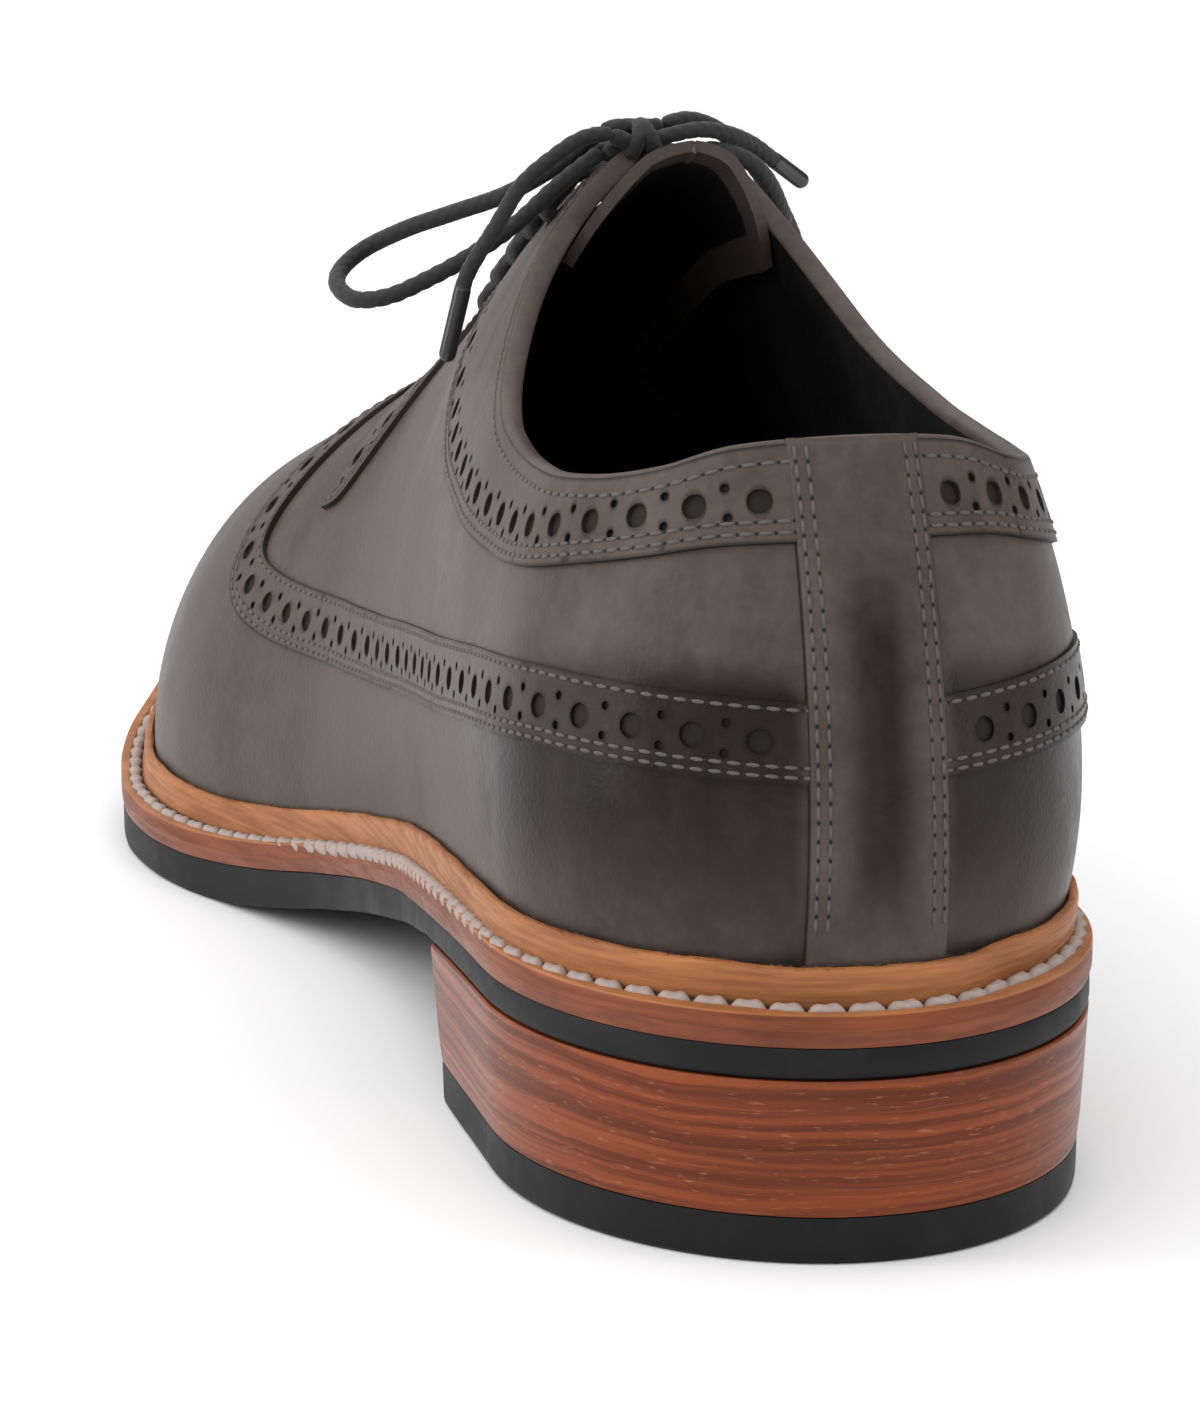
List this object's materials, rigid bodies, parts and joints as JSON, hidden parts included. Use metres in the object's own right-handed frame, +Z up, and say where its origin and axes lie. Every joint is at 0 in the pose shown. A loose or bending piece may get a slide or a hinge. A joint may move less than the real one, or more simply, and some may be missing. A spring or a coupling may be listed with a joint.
{
  "type": "longwing brogue",
  "caption": "Left longwing derby brogue with open lacing, a broguing band that runs right round the upper, a storm welt, stacked leather heel and rubber sole",
  "frame": {"origin": "on the ground plane, under the middle of the shoe's outline", "axes": "+Y to the toe, +Z up, +X to the medial side of this left shoe"},
  "size_m": [0.11, 0.304, 0.1232],
  "materials": {
    "upper_leather": "burnished taupe calf with a soft shine",
    "tongue_leather": "satin",
    "insole_leather": "matt black",
    "welt_leather": "tan, matt",
    "midsole_leather": "cut edge, reddish brown",
    "sole_rubber": "matt black",
    "heel_leather": "stacked layers, waxed edge",
    "lift_rubber": "matt black",
    "lace_cord": "round waxed cotton lace",
    "lace_tip": "black, glossy"
  },
  "bodies": {
    "root": {"upper": "upper_leather", "tongue": "tongue_leather", "insole": "insole_leather", "welt": "welt_leather", "midsole": "midsole_leather", "outsole": "sole_rubber", "heel_stack": "heel_leather", "top_lift": "lift_rubber", "lace_bars": "lace_cord", "lace_knot": "lace_cord", "lace_loop_lateral": "lace_cord", "lace_loop_medial": "lace_cord", "lace_end_lateral": "lace_cord", "lace_end_medial": "lace_cord", "lace_tip_lateral": "lace_tip", "lace_tip_medial": "lace_tip"}
  },
  "joints": []
}
